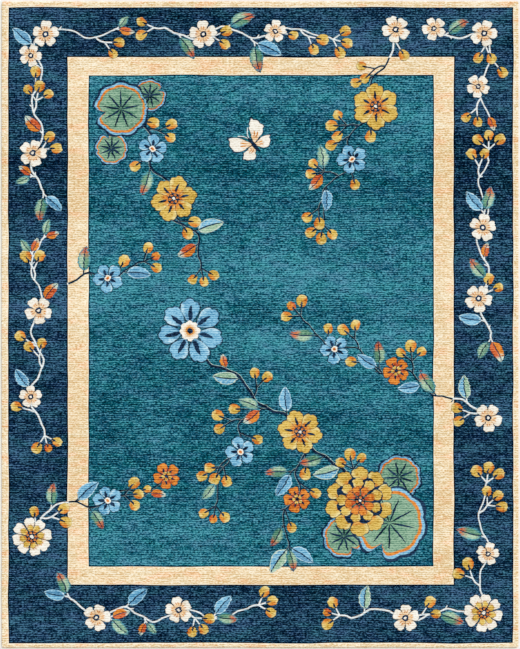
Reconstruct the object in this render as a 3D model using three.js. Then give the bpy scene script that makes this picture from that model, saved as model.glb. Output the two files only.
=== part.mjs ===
// A hand-tufted wool rug lying flat on the floor: one dense cut pile on its backing cloth, as one solid.
// Millimetres, +Z up. The origin is on the floor, under the middle of the rug.
// +X runs along the tufted rows, which go across the rug, and +Y runs along its length.
import * as THREE from "three";

// Driving dimensions: an 8 ft by 10 ft rug
const RUG_WIDTH = 2438;
const RUG_LENGTH = 3048;
const BACKING_THICKNESS = 3;
const PILE_HEIGHT = 10;
const CORNER_RADIUS = 9;
// The turned edge and its outermost tufts round off by this much, above and below
const EDGE_ROUND = 4;

// How finely the round edge and the corners are faceted
const EDGE_FACETS = 4;
const CORNER_FACETS = 6;

const RUG_THICKNESS = BACKING_THICKNESS + PILE_HEIGHT;
const QUARTER_TURN = Math.PI / 2;

const wool = new THREE.MeshStandardMaterial({ color: 0x2b6e80, roughness: 0.95, metalness: 0 });

// Outline of the rug seen from above: a rectangle with slightly softened corners
function rugOutline(width, length, radius) {
  const reachX = width / 2 - radius;
  const reachY = length / 2 - radius;
  const corners = [
    { x: reachX, y: reachY, startQuarter: 0 },
    { x: -reachX, y: reachY, startQuarter: 1 },
    { x: -reachX, y: -reachY, startQuarter: 2 },
    { x: reachX, y: -reachY, startQuarter: 3 },
  ];
  const outline = new THREE.Shape();
  for (const { x, y, startQuarter } of corners) {
    const startAngle = startQuarter * QUARTER_TURN;
    outline.absarc(x, y, radius, startAngle, startAngle + QUARTER_TURN, false);
  }
  outline.closePath();
  return outline;
}

// The outline raised to the rug's thickness, its rounded edge kept inside the outline
function rugSolid() {
  const outline = rugOutline(RUG_WIDTH, RUG_LENGTH, CORNER_RADIUS);
  const geometry = new THREE.ExtrudeGeometry(outline, {
    depth: RUG_THICKNESS - 2 * EDGE_ROUND,
    curveSegments: CORNER_FACETS,
    bevelThickness: EDGE_ROUND,
    bevelSize: EDGE_ROUND,
    bevelOffset: -EDGE_ROUND,
    bevelSegments: EDGE_FACETS,
  });
  geometry.translate(0, 0, EDGE_ROUND);
  const rug = new THREE.Mesh(geometry, wool);
  rug.name = "rug";
  return rug;
}

const part = new THREE.Group();
part.add(rugSolid());

export default part;
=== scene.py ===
"""Looks of a hand-tufted wool rug laid flat: a cut pile in rows, carved along its colour changes.

Sprays of flowers lie on a teal field, inside a cream frame, a navy border and a cream guard stripe."""
import math

import bpy
import numpy as np
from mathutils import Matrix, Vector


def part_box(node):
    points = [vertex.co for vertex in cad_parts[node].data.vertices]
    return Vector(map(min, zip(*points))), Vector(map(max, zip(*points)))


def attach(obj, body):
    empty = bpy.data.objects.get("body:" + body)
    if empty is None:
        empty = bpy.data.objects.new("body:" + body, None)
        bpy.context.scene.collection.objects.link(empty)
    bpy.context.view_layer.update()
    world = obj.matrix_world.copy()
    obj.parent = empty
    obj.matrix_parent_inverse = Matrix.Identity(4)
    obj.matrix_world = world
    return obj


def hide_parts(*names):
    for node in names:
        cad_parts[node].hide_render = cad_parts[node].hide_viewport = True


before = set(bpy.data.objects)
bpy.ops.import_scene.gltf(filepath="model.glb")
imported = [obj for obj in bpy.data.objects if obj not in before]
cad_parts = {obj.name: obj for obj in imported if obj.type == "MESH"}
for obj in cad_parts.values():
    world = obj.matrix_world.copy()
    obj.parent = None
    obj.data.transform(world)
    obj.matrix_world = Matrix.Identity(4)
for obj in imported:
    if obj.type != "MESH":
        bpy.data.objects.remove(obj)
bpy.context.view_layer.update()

# Units and the rug's own sizes, in millimetres, from the frame
MM = 0.001
rug_low, rug_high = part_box("rug")
RUG_WIDTH = (rug_high[0] - rug_low[0]) / MM
RUG_LENGTH = (rug_high[1] - rug_low[1]) / MM
RUG_THICKNESS = (rug_high[2] - rug_low[2]) / MM
RIGHT = RUG_WIDTH / 2
TOP = RUG_LENGTH / 2

# The pile. Its rows are drawn about twice as coarse as real ones, so that they show from above. RAG is how
# far the ends of the half rows in a motif stray, and PLAIN_STEP the widest gap between columns of points
ROW_PITCH = 10.4
ROW_DEPTH = 1.0
SAMPLES_PER_ROW = 4
MOTIF_RELIEF = 1.2
MOTIF_ROW_DEPTH = 0.3
RAG = 6.0
GROUND_LEVEL = RUG_THICKNESS - MOTIF_RELIEF
CARVE_DEPTH = 1.4
CARVE_HALF_WIDTH = 7.5
EDGE_ROUND = 6.0
EDGE_STEPS = (0.0, 0.8, 2.2, 4.2, 7.0)
UNDER_INSET = 1.5
CORNER_RADIUS = 9.0
PLAIN_STEP = 95.0
BOUNDARY_WANDER = 3.0
BOUNDARY_WAVE = 230.0
UNEVEN_PATCH = 26.0

# Patterns in the wool, along the rows and across them. Streaks and tufts are drawn coarser than real yarn
# too, so that they show from above
ROW_WANDER_SIZE = 110.0
ROW_WANDER_SHARE = 0.6
STREAK_LENGTH = 48.0
STREAK_ROW_STEP = 7.31
TUFT_SIZE = (10.5, 4.8)
DYE_LOT_SIZE = (1300.0, 170.0)
CLOUD_SIZE = (420.0, 240.0)
PATCH_SIZE = (110.0, 50.0)
TUFT_HEIGHT = 1.6

# Widths of the bands round the field, from the edge inwards
GUARD = {"left": 32, "right": 25, "top": 28, "bottom": 22}
BORDER = {"left": 281, "right": 281, "top": 235, "bottom": 276}
FRAME = {"left": 97, "right": 94, "top": 84, "bottom": 84}
BANDS = ("guard", "border", "frame", "field", "underside")

# Distance of each band's inner edge from the rug's edge, for each side
INNER_EDGES = {
    side: np.cumsum([GUARD[side], BORDER[side], FRAME[side]]) for side in ("left", "right", "top", "bottom")
}
X_EDGES = np.concatenate([-RIGHT + INNER_EDGES["left"], (RIGHT - INNER_EDGES["right"])[::-1]])
Y_EDGES = np.concatenate([-TOP + INNER_EDGES["bottom"], (TOP - INNER_EDGES["top"])[::-1]])

draw = np.random.default_rng(11)


def linear(code):
    """An sRGB hex colour as linear red, green, blue and full alpha."""
    parts = [int(code[i : i + 2], 16) / 255 for i in (1, 3, 5)]
    return [c / 12.92 if c <= 0.04045 else ((c + 0.055) / 1.055) ** 2.4 for c in parts] + [1.0]


def node(tree, kind, links=None, **settings):
    """Adds a node. links maps an input's name or number to a value, a socket or a node's first output."""
    made = tree.nodes.new(kind)
    for key, value in settings.items():
        setattr(made, key, value)
    for key, value in (links or {}).items():
        if isinstance(value, bpy.types.Node):
            value = value.outputs[0]
        if isinstance(value, bpy.types.NodeSocket):
            tree.links.new(value, made.inputs[key])
        else:
            made.inputs[key].default_value = value
    return made


def band_at(x, y):
    """Which band a spot lies in: 0 the guard stripe, 1 the border, 2 the frame, 3 the field."""
    x_band = np.minimum(np.searchsorted(X_EDGES, x), 6 - np.searchsorted(X_EDGES, x))
    y_band = np.minimum(np.searchsorted(Y_EDGES, y), 6 - np.searchsorted(Y_EDGES, y))
    return np.minimum(x_band, y_band)


# Yarns: each is dyed unevenly, so it has a dark, a middle and a light shade
YARNS = {
    "teal": ("#001d2c", "#065b72", "#5ca9b8"),
    "lagoon": ("#00222d", "#026172", "#58acb7"),
    "slate": ("#001d2f", "#0b5974", "#65a4b8"),
    "navy": ("#000614", "#032946", "#4c7c98"),
    "indigo": ("#000516", "#042749", "#527a9c"),
    "petrol": ("#000813", "#012d45", "#488096"),
    "cream": ("#d2aa70", "#f0d6ab", "#fff2d8"),
    "blush": ("#d69f66", "#f6cea0", "#ffebd2"),
    "butter": ("#d2b27a", "#f1dcb6", "#fff5e0"),
    "ivory": ("#cdbfa5", "#ece5d6", "#fbf8ee"),
    "peach": ("#bf8450", "#e8c192", "#f6dfbe"),
    "amber": ("#94481a", "#cc7e32", "#e8ab5e"),
    "gold": ("#8f6a1e", "#cda442", "#e8ca74"),
    "straw": ("#b0934a", "#dec474", "#f2e2a6"),
    "orange": ("#8f3d16", "#d07426", "#ee9e4a"),
    "rust": ("#7c2c10", "#c45028", "#e28252"),
    "sky": ("#3a7ba2", "#66a6c8", "#a0d2e8"),
    "steel": ("#22587c", "#4f8ab0", "#88bad4"),
    "frost": ("#64a0be", "#98cae0", "#d0e9f1"),
    "sage": ("#557f66", "#8cb092", "#c2d9bd"),
    "moss": ("#426c58", "#6c967c", "#a2c1a5"),
    "leaf": ("#265443", "#4f826a", "#86af8f"),
    "ink": ("#02070f", "#0b1a33", "#2a4766"),
    "pale": ("#86a8a0", "#b8d0c2", "#e0ebdc"),
    "bone": ("#b0c0c4", "#e4ebea", "#fafcfa"),
    "jute": ("#8d7a58", "#b8a47e", "#d6c6a2"),
}


# Cut fibre ends scatter light every way: hardly any gloss, and a trace of bloom
WOOL_FINISH = {"Roughness": 0.93, "Specular IOR Level": 0.01, "Sheen Weight": 0.02, "Sheen Roughness": 0.5}

# Zones of darker and lighter dye right across the rug: middle, spread to either side and weight
SHADED_ZONES = ((690, 330, -0.16), (235, 290, 0.13), (-690, 330, -0.15))
ZONE_WAVE = 500.0


def per_metre(size):
    """A pattern's scale from its size in millimetres, along the rows and across them."""
    return 1 / (size[0] * MM), 1 / (size[1] * MM), 1.0


def pile_rows(tree):
    """Nodes for the rows of tufts: the place, the rows' crests, their streaks and their tufts."""
    place = node(tree, "ShaderNodeTexCoord").outputs["Object"]
    axes = node(tree, "ShaderNodeSeparateXYZ", {0: place})
    x, y = axes.outputs[0], axes.outputs[1]
    # Rows wander by up to a fifth of their pitch over a hand's width
    wander_scale = 1 / (ROW_WANDER_SIZE * MM)
    wander = node(tree, "ShaderNodeTexNoise", {"Vector": place, "Scale": wander_scale, "Detail": 1.0})
    rows = node(tree, "ShaderNodeMath", {0: y, 1: 1 / (ROW_PITCH * MM)}, operation="MULTIPLY")
    rows = node(tree, "ShaderNodeMath", {0: wander, 1: ROW_WANDER_SHARE, 2: rows}, operation="MULTIPLY_ADD")
    crest = node(tree, "ShaderNodeMath", {0: rows, 1: 0.5}, operation="PINGPONG")
    crest = node(tree, "ShaderNodeMath", {0: crest, 1: 2.0}, operation="MULTIPLY")
    # Each half row has its own streaks of lighter and darker yarn
    half_rows = node(tree, "ShaderNodeMath", {0: rows, 1: 2.0}, operation="MULTIPLY")
    half_row = node(tree, "ShaderNodeMath", {0: half_rows}, operation="FLOOR")
    streak_row = node(tree, "ShaderNodeMath", {0: half_row, 1: STREAK_ROW_STEP}, operation="MULTIPLY")
    streak_x = node(tree, "ShaderNodeMath", {0: x, 1: 1 / (STREAK_LENGTH * MM)}, operation="MULTIPLY")
    streak_at = node(tree, "ShaderNodeCombineXYZ", {0: streak_x, 1: streak_row})
    streak_look = {"Vector": streak_at, "Scale": 1.0, "Detail": 3.0, "Roughness": 0.62}
    streak = node(tree, "ShaderNodeTexNoise", streak_look)
    # Tufts: specks of cut yarn
    tuft_at = node(tree, "ShaderNodeMapping", {"Vector": place, "Scale": per_metre(TUFT_SIZE)})
    tuft_look = {"Vector": tuft_at, "Scale": 1.0, "Detail": 2.0, "Roughness": 0.6}
    tuft = node(tree, "ShaderNodeTexNoise", tuft_look)
    return place, crest, streak, tuft


def wool(name, yarns, picks=(), shade=(0.7, 1.8, 2.4), abrash=0.0, tone=0.0, carve=0.0):
    """Cut wool pile, matt and soft, with a faint bloom at low angles. yarns are its dyes, the first all over
    and each later one where its pick, (attribute, from, to, row noise), says; the attribute dye_lot stands
    for patches of noise. shade weighs the rows, darker in their troughs as painted shade, their streaks and
    their tufts, abrash the dye lots, clouds and shaded zones over the whole rug, tone the differences between
    one motif and the next, and the carve weight the painted shade on the line cut between two bands, a
    painted highlight where it is negative."""
    material = bpy.data.materials.new(name)
    material.use_nodes = True
    tree = material.node_tree
    place, crest, streak, tuft = pile_rows(tree)
    # The rows' crests lighten the colour and their troughs darken it: painted shade between the rows, on top
    # of the shading of their real ribs
    parts = [(crest, shade[0]), (streak, shade[1]), (tuft, shade[2])]
    if abrash:
        # Dye lots show as level bands, and brushing as softer clouds
        lot_at = node(tree, "ShaderNodeMapping", {"Vector": place, "Scale": per_metre(DYE_LOT_SIZE)})
        lots = node(tree, "ShaderNodeTexNoise", {"Vector": lot_at, "Scale": 1.0, "Detail": 3.0})
        cloud_at = node(tree, "ShaderNodeMapping", {"Vector": place, "Scale": per_metre(CLOUD_SIZE)})
        clouds = node(tree, "ShaderNodeTexNoise", {"Vector": cloud_at, "Scale": 1.0, "Detail": 2.0})
        parts += [(lots, abrash), (clouds, 0.6 * abrash)]
        level = node(tree, "ShaderNodeSeparateXYZ", {0: place}).outputs[1]
        waved = {0: clouds, 1: ZONE_WAVE * MM, 2: level}
        level = node(tree, "ShaderNodeMath", waved, operation="MULTIPLY_ADD")
    light = 0.5 - sum(weight for part, weight in parts) / 2
    for part, weight in parts:
        light = node(tree, "ShaderNodeMath", {0: part, 1: weight, 2: light}, operation="MULTIPLY_ADD")
    for middle, spread, weight in SHADED_ZONES if abrash else ():
        centre = (middle + ZONE_WAVE / 2) * MM
        away = node(tree, "ShaderNodeMath", {0: level, 1: centre}, operation="SUBTRACT")
        away = node(tree, "ShaderNodeMath", {0: away}, operation="ABSOLUTE")
        zone = node(
            tree,
            "ShaderNodeMapRange",
            {0: away, 1: 0.0, 2: spread * MM, 3: weight * abrash, 4: 0.0},
            interpolation_type="SMOOTHSTEP",
        )
        light = node(tree, "ShaderNodeMath", {0: zone, 1: light}, operation="ADD")
    # Near the carved lines between bands a positive weight darkens the colour as painted shade of the groove,
    # and a negative weight lightens it as a painted highlight
    for attribute, weight in (("tone", tone), ("carve", -carve)):
        if weight:
            level = node(tree, "ShaderNodeAttribute", attribute_name=attribute).outputs["Fac"]
            light = node(tree, "ShaderNodeMath", {0: level, 1: weight, 2: light}, operation="MULTIPLY_ADD")
    colour = None
    for number, yarn in enumerate(yarns):
        ramp = node(tree, "ShaderNodeValToRGB", {0: light})
        stops = ramp.color_ramp.elements
        stops.new(0.5)
        for stop, code in zip(stops, YARNS[yarn]):
            stop.color = linear(code)
        if number == 0:
            colour = ramp.outputs[0]
            continue
        attribute, start, end, ragged = picks[number - 1]
        if attribute == "dye_lot":
            # Patches a hand wide where the next dye lot was worked in
            patch_at = node(tree, "ShaderNodeMapping", {"Vector": place, "Scale": per_metre(PATCH_SIZE)})
            level = node(tree, "ShaderNodeTexNoise", {"Vector": patch_at, "Scale": 1.0, "Detail": 2.0})
        else:
            level = node(tree, "ShaderNodeAttribute", attribute_name=attribute).outputs["Fac"]
        level = node(tree, "ShaderNodeMath", {0: streak, 1: ragged, 2: level}, operation="MULTIPLY_ADD")
        mask = node(
            tree,
            "ShaderNodeMapRange",
            {0: level, 1: start + ragged / 2, 2: end + ragged / 2},
            interpolation_type="SMOOTHSTEP",
        )
        mix = node(tree, "ShaderNodeMix", {0: mask, 6: colour, 7: ramp}, data_type="RGBA")
        colour = mix.outputs[2]
    # Each tuft stands as a small round cushion of cut fibres
    height = node(tree, "ShaderNodeMath", {0: crest, 1: 0.5, 2: tuft}, operation="MULTIPLY_ADD")
    bump = node(tree, "ShaderNodeBump", {"Height": height, "Strength": 0.6, "Distance": TUFT_HEIGHT * MM})
    surface = tree.nodes["Principled BSDF"]
    tree.links.new(colour, surface.inputs["Base Color"])
    tree.links.new(bump.outputs[0], surface.inputs["Normal"])
    for socket, value in WOOL_FINISH.items():
        surface.inputs[socket].default_value = value
    return material


def new_tree(name, inputs):
    """An empty Geometry Nodes tree with named inputs, each a name and a kind, and those inputs' sockets."""
    tree = bpy.data.node_groups.new(name, "GeometryNodeTree")
    tree.interface.new_socket("Geometry", in_out="OUTPUT", socket_type="NodeSocketGeometry")
    tree.interface.new_socket("Geometry", in_out="INPUT", socket_type="NodeSocketGeometry")
    for label, kind in inputs:
        tree.interface.new_socket(label, in_out="INPUT", socket_type="NodeSocket" + kind)
    return tree, node(tree, "NodeGroupInput").outputs


def row_height(tree, pitch, depth):
    """How far the pile's surface lies below the top of its rows at each point."""
    place = node(tree, "GeometryNodeInputPosition")
    axes = node(tree, "ShaderNodeSeparateXYZ", {0: place})
    rows = node(tree, "ShaderNodeMath", {0: axes.outputs[1], 1: pitch}, operation="DIVIDE")
    crest = node(tree, "ShaderNodeMath", {0: rows, 1: 0.5}, operation="PINGPONG")
    crest = node(tree, "ShaderNodeMath", {0: crest, 1: 2.0}, operation="MULTIPLY")
    round_crest = node(tree, "ShaderNodeMath", {0: crest, 1: 0.6}, operation="POWER")
    drop = node(tree, "ShaderNodeMath", {0: round_crest, 1: 1.0}, operation="SUBTRACT")
    drop = node(tree, "ShaderNodeMath", {0: drop, 1: depth}, operation="MULTIPLY")
    uneven_scale = 1 / (UNEVEN_PATCH * MM)
    uneven = node(tree, "ShaderNodeTexNoise", {"Vector": place, "Scale": uneven_scale, "Detail": 1.0})
    uneven = node(tree, "ShaderNodeMath", {0: uneven, 1: 0.5}, operation="SUBTRACT")
    return node(tree, "ShaderNodeMath", {0: uneven, 1: depth, 2: drop}, operation="MULTIPLY_ADD")


def ground_tree():
    """Lays rows and carved lines into a flat closed rug, lets its boundaries wander, and dyes its bands."""
    inputs = [("Row pitch", "Float"), ("Row depth", "Float"), ("Carve depth", "Float"), ("Wander", "Float")]
    tree, given = new_tree("tufted_ground", inputs + [(band, "Material") for band in BANDS])
    place = node(tree, "GeometryNodeInputPosition")
    wave_scale = 1 / (BOUNDARY_WAVE * MM)
    waves = node(tree, "ShaderNodeTexNoise", {"Vector": place, "Scale": wave_scale, "Detail": 1.0})
    waves = {0: waves.outputs["Color"], 1: (0.5, 0.5, 0.5)}
    waves = node(tree, "ShaderNodeVectorMath", waves, operation="SUBTRACT")
    free = node(tree, "GeometryNodeInputNamedAttribute", {"Name": "free"})
    reach = node(tree, "ShaderNodeMath", {0: free, 1: given["Wander"]}, operation="MULTIPLY")
    # The noise seldom strays more than a quarter from its middle
    reach = node(tree, "ShaderNodeMath", {0: reach, 1: 4.0}, operation="MULTIPLY")
    shift = node(tree, "ShaderNodeVectorMath", {0: waves, "Scale": reach}, operation="SCALE")
    shift = node(tree, "ShaderNodeVectorMath", {0: shift, 1: (1.0, 1.0, 0.0)}, operation="MULTIPLY")
    wandered = node(tree, "GeometryNodeSetPosition", {"Geometry": given["Geometry"], "Offset": shift})
    drop = row_height(tree, given["Row pitch"], given["Row depth"])
    pile = node(tree, "GeometryNodeInputNamedAttribute", {"Name": "pile"})
    carve = node(tree, "GeometryNodeInputNamedAttribute", {"Name": "carve"})
    drop = node(tree, "ShaderNodeMath", {0: drop, 1: pile}, operation="MULTIPLY")
    cut = node(tree, "ShaderNodeMath", {0: carve, 1: given["Carve depth"]}, operation="MULTIPLY")
    drop = node(tree, "ShaderNodeMath", {0: drop, 1: cut}, operation="SUBTRACT")
    down = node(tree, "ShaderNodeCombineXYZ", {2: drop})
    made = node(tree, "GeometryNodeSetPosition", {"Geometry": wandered, "Offset": down})
    made = node(tree, "GeometryNodeSetShadeSmooth", {0: made})
    made = node(tree, "GeometryNodeRealizeInstances", {0: made})
    band_of = node(tree, "GeometryNodeInputNamedAttribute", {"Name": "band"}, data_type="INT")
    for number, band in enumerate(BANDS):
        same = {2: band_of, 3: number}
        chosen = node(tree, "FunctionNodeCompare", same, data_type="INT", operation="EQUAL")
        made = node(tree, "GeometryNodeSetMaterial", {0: made, "Selection": chosen, "Material": given[band]})
    node(tree, "NodeGroupOutput", {0: made})
    return tree


def motif_tree():
    """Sets one carved shape at every point, turned and sized by it, then works the rug's rows into it."""
    inputs = [("Shape", "Object"), ("Row pitch", "Float"), ("Row depth", "Float"), ("Rag", "Float")]
    tree, given = new_tree("tufted_motif", inputs + [("Wool", "Material")])
    shape = node(tree, "GeometryNodeObjectInfo", {"Object": given["Shape"]})
    turn = node(tree, "GeometryNodeInputNamedAttribute", {"Name": "turn"})
    turn = node(tree, "ShaderNodeCombineXYZ", {2: turn})
    reach = node(tree, "GeometryNodeInputNamedAttribute", {"Name": "reach"}, data_type="FLOAT_VECTOR")
    placed = node(
        tree,
        "GeometryNodeInstanceOnPoints",
        {
            "Points": given["Geometry"],
            "Instance": shape.outputs["Geometry"],
            "Rotation": turn,
            "Scale": reach,
        },
    )
    made = node(tree, "GeometryNodeRealizeInstances", {0: placed})
    # A mirrored motif comes out inside out, so its faces are turned round
    reach_axes = node(tree, "ShaderNodeSeparateXYZ", {0: reach})
    mirrored = node(tree, "FunctionNodeCompare", {0: reach_axes.outputs[1], 1: 0.0}, operation="LESS_THAN")
    made = node(tree, "GeometryNodeFlipFaces", {"Mesh": made, "Selection": mirrored})
    # Every half row of tufts starts and stops a little to one side of the drawn line
    axes = node(tree, "ShaderNodeSeparateXYZ", {0: node(tree, "GeometryNodeInputPosition")})
    half_row = node(tree, "ShaderNodeMath", {0: axes.outputs[1], 1: given["Row pitch"]}, operation="DIVIDE")
    half_row = node(tree, "ShaderNodeMath", {0: half_row, 1: 2.0}, operation="MULTIPLY")
    half_row = node(tree, "ShaderNodeMath", {0: half_row}, operation="FLOOR")
    start = node(tree, "ShaderNodeTexWhiteNoise", {"W": half_row}, noise_dimensions="1D")
    start = node(tree, "ShaderNodeMath", {0: start, 1: 0.5}, operation="SUBTRACT")
    start = node(tree, "ShaderNodeMath", {0: start, 1: given["Rag"]}, operation="MULTIPLY")
    drop = row_height(tree, given["Row pitch"], given["Row depth"])
    shift = node(tree, "ShaderNodeCombineXYZ", {0: start, 2: drop})
    made = node(tree, "GeometryNodeSetPosition", {"Geometry": made, "Offset": shift})
    made = node(tree, "GeometryNodeSetShadeSmooth", {0: made})
    made = node(tree, "GeometryNodeSetMaterial", {0: made, "Material": given["Wool"]})
    node(tree, "NodeGroupOutput", {0: made})
    return tree


def stem_tree():
    """Sweeps a low rounded ridge along every stem line, as wide as it says, with the rug's rows in it."""
    inputs = [("Crest", "Float"), ("Row pitch", "Float"), ("Row depth", "Float"), ("Wool", "Material")]
    tree, given = new_tree("tufted_stem", inputs)
    lines = node(tree, "GeometryNodeMeshToCurve", {0: given["Geometry"]})
    wide = node(tree, "GeometryNodeInputNamedAttribute", {"Name": "half_width"})
    lines = node(tree, "GeometryNodeSetCurveNormal", {0: lines}, mode="Z_UP")
    ring = node(tree, "GeometryNodeCurvePrimitiveCircle", {"Resolution": 8, "Radius": 1.0})
    ring_axes = node(tree, "ShaderNodeSeparateXYZ", {0: node(tree, "GeometryNodeInputPosition")})
    ring = node(
        tree,
        "GeometryNodeStoreNamedAttribute",
        {"Geometry": ring, "Name": "across", "Value": ring_axes.outputs[0]},
        data_type="FLOAT",
        domain="POINT",
    )
    flat = node(tree, "GeometryNodeTransform", {"Geometry": ring, "Scale": (1.0, 0.9, 1.0)})
    sweep = {"Curve": lines, "Profile Curve": flat, "Scale": wide, "Fill Caps": True}
    swept = node(tree, "GeometryNodeCurveToMesh", sweep)
    place = node(tree, "GeometryNodeInputPosition")
    axes = node(tree, "ShaderNodeSeparateXYZ", {0: place})
    level = node(tree, "ShaderNodeMath", {0: axes.outputs[2], 1: given["Crest"]}, operation="MINIMUM")
    low = node(tree, "ShaderNodeCombineXYZ", {0: axes.outputs[0], 1: axes.outputs[1], 2: level})
    swept = node(tree, "GeometryNodeSetPosition", {"Geometry": swept, "Position": low})
    drop = row_height(tree, given["Row pitch"], given["Row depth"])
    down = node(tree, "ShaderNodeCombineXYZ", {2: drop})
    made = node(tree, "GeometryNodeSetPosition", {"Geometry": swept, "Offset": down})
    made = node(tree, "GeometryNodeSetShadeSmooth", {0: made})
    made = node(tree, "GeometryNodeRealizeInstances", {0: made})
    made = node(tree, "GeometryNodeSetMaterial", {0: made, "Material": given["Wool"]})
    node(tree, "NodeGroupOutput", {0: made})
    return tree


def mesh_object(name, points, edges=(), faces=(), attributes=()):
    """An object from points in millimetres, with its attributes: name, kind, domain and values."""
    mesh = bpy.data.meshes.new(name)
    mesh.from_pydata((np.asarray(points, float) * MM).tolist(), edges, faces)
    for label, kind, domain, values in attributes:
        layer = mesh.attributes.new(label, kind, domain)
        field = "vector" if kind == "FLOAT_VECTOR" else "value"
        layer.data.foreach_set(field, np.asarray(values).ravel())
    made = bpy.data.objects.new(name, mesh)
    bpy.context.scene.collection.objects.link(made)
    return made


# The bake map: the share of it that the face fills, its margin, and the size and place of the underside
FACE_SHARE = 0.99
FACE_MARGIN = 0.005
UNDER_SHRINK = 0.18
UNDER_SHIFT = (0.82, 0.02)


def bake_map(mesh):
    """A map seen from straight above. The underside is small, beside it."""
    corners = np.empty(len(mesh.loops), int)
    mesh.loops.foreach_get("vertex_index", corners)
    points = np.empty(len(mesh.vertices) * 3)
    mesh.vertices.foreach_get("co", points)
    flat = points.reshape(-1, 3)[corners, :2] / MM
    flat = (flat + (RIGHT, TOP)) / RUG_LENGTH * FACE_SHARE + FACE_MARGIN
    facing = np.empty(len(mesh.polygons) * 3)
    mesh.polygons.foreach_get("normal", facing)
    sizes = np.empty(len(mesh.polygons), int)
    mesh.polygons.foreach_get("loop_total", sizes)
    under = np.repeat(facing.reshape(-1, 3)[:, 2] < -0.5, sizes)
    flat[under] = flat[under] * UNDER_SHRINK + UNDER_SHIFT
    layer = mesh.uv_layers.new(name="OFBake")
    layer.data.foreach_set("uv", flat.ravel())


def grown(host, tree, values):
    """Runs a tree on its host and leaves the host with the result as a plain mesh."""
    modifier = host.modifiers.new(tree.name, "NODES")
    modifier.node_group = tree
    for item in tree.interface.items_tree:
        if item.in_out == "INPUT" and item.name in values:
            modifier[item.identifier] = values[item.name]
    depsgraph = bpy.context.evaluated_depsgraph_get()
    mesh = bpy.data.meshes.new_from_object(
        host.evaluated_get(depsgraph), preserve_all_data_layers=True, depsgraph=depsgraph
    )
    host.modifiers.remove(modifier)
    old = host.data
    host.data = mesh
    bpy.data.meshes.remove(old)
    mesh.name = host.name
    bake_map(mesh)
    return host


def cells_of(number):
    """The square cells of a grid of point numbers, each as its four corners."""
    corners = [number[:-1, :-1], number[:-1, 1:], number[1:, 1:], number[1:, :-1]]
    return np.stack(corners, axis=-1).reshape(-1, 4)


def toward(angle):
    """A step of one in a direction."""
    return np.array([math.cos(angle), math.sin(angle)])


def lines_across(reach, edges, step):
    """Places of the columns across the rug: its rounded edge, three to a boundary, even ones between."""
    places = [-reach + s for s in EDGE_STEPS] + [reach - s for s in EDGE_STEPS]
    for edge in edges:
        places += [edge - CARVE_HALF_WIDTH, edge, edge + CARVE_HALF_WIDTH]
    places = sorted(places)
    filled = []
    for here, there in zip(places, places[1:]):
        count = max(1, math.ceil((there - here) / step))
        filled += [here + (there - here) * k / count for k in range(count)]
    return np.array(filled + [reach])


def lines_along():
    """Places of the sample lines along the rug: four to a row of tufts, moved on to the boundaries."""
    step = ROW_PITCH / SAMPLES_PER_ROW
    count = int(TOP / step)
    places = np.arange(-count, count + 1) * step
    fixed = [-TOP + s for s in EDGE_STEPS] + [TOP - s for s in EDGE_STEPS]
    for edge in Y_EDGES:
        fixed += [edge - CARVE_HALF_WIDTH, edge, edge + CARVE_HALF_WIDTH]
    fixed = np.array(sorted(fixed))
    clear = np.abs(places[:, None] - fixed[None, :]).min(axis=1) > 0.45 * step
    inside = np.abs(places) < TOP - EDGE_STEPS[-1]
    return np.array(sorted(np.concatenate([places[clear & inside], fixed])))


def near_edges(x, y):
    """How close each point is to a boundary between bands, from 0 to 1 on it."""
    nearest = np.full(x.shape, 1e9)
    for ring in range(3):
        left, right = X_EDGES[ring], X_EDGES[5 - ring]
        low, high = Y_EDGES[ring], Y_EDGES[5 - ring]
        out_x = np.maximum(np.maximum(left - x, x - right), 0)
        out_y = np.maximum(np.maximum(low - y, y - high), 0)
        inside = np.minimum(np.minimum(x - left, right - x), np.minimum(y - low, high - y))
        gap = np.where(inside > 0, inside, np.hypot(out_x, out_y))
        nearest = np.minimum(nearest, gap)
    return np.clip(1 - nearest / CARVE_HALF_WIDTH, 0, 1)


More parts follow.
